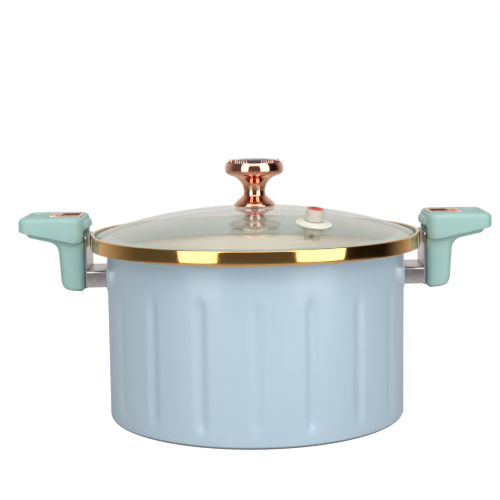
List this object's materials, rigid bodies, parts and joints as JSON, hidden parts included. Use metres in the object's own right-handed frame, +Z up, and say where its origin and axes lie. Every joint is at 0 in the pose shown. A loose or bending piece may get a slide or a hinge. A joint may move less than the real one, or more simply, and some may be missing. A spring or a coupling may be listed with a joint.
{
  "type": "low-pressure stock pot",
  "caption": "Fluted low-pressure stock pot with a domed glass lid, a float valve, a turned knob and side handles whose sliding latches lock the lid.",
  "frame": {"origin": "centre of the pot's underside, on the surface it stands on", "axes": "+Z up through the knob, +X towards the right handle, -Y towards the front"},
  "size_m": [0.389, 0.276, 0.2145],
  "materials": {
    "enamel_pot": "satin light blue enamel outside, cream ceramic inside",
    "mint_plastic": "fine matte moulded",
    "gold_steel": "polished gold plating",
    "rose_gold": "polished rose gold plating",
    "steel": "brushed and polished stainless steel",
    "silicone": "moulded silicone",
    "cream_plastic": "satin heat-resistant plastic",
    "lid_glass": "clear tempered glass",
    "crystal": "dark faceted crystal",
    "brass": "machined",
    "red_plastic": "gloss red plastic"
  },
  "bodies": {
    "pot": {"pot_body": "enamel_pot", "base_disc": "steel", "bracket_left": "steel", "back_plate_left": "steel", "handle_base_left": "mint_plastic", "handle_cover_left": "mint_plastic", "slot_trim_left": "rose_gold", "detent_spring_left": "steel", "bracket_screw_left_front": "steel", "bracket_screw_left_rear": "steel", "handle_screw_left_front": "steel", "handle_screw_left_rear": "steel", "cover_screw_left_front": "steel", "cover_screw_left_rear": "steel", "bracket_right": "steel", "back_plate_right": "steel", "handle_base_right": "mint_plastic", "handle_cover_right": "mint_plastic", "slot_trim_right": "rose_gold", "detent_spring_right": "steel", "bracket_screw_right_front": "steel", "bracket_screw_right_rear": "steel", "handle_screw_right_front": "steel", "handle_screw_right_rear": "steel", "cover_screw_right_front": "steel", "cover_screw_right_rear": "steel"},
    "lid": {"lid_glass": "lid_glass", "lid_hoop": "gold_steel", "lid_gasket": "silicone", "knob_body": "rose_gold", "knob_insert": "brass", "knob_bezel": "rose_gold", "knob_crystal": "crystal", "knob_washer": "silicone", "knob_screw": "steel", "valve_grommet": "cream_plastic", "valve_housing": "cream_plastic"},
    "float": {"valve_float": "red_plastic", "valve_float_clip": "cream_plastic"},
    "latch_left": {"latch_nose_left": "mint_plastic", "latch_plate_left": "steel", "latch_pad_left": "rose_gold", "latch_screw_left_front": "steel", "latch_screw_left_rear": "steel"},
    "latch_right": {"latch_nose_right": "mint_plastic", "latch_plate_right": "steel", "latch_pad_right": "rose_gold", "latch_screw_right_front": "steel", "latch_screw_right_rear": "steel"}
  },
  "joints": [
    {"name": "lid_lift", "type": "slide", "parent": "pot", "child": "lid", "axis": [0, 0, 1], "range_m": [0, 0.08]},
    {"name": "latch_left_slide", "type": "slide", "parent": "pot", "child": "latch_left", "axis": [1, 0, 0], "range_m": [0, 0.0139]},
    {"name": "latch_right_slide", "type": "slide", "parent": "pot", "child": "latch_right", "axis": [-1, 0, 0], "range_m": [0, 0.0139]},
    {"name": "float_rise", "type": "slide", "parent": "lid", "child": "float", "axis": [0.1109, -0.172, 0.9788], "range_m": [0, 0.003]}
  ]
}
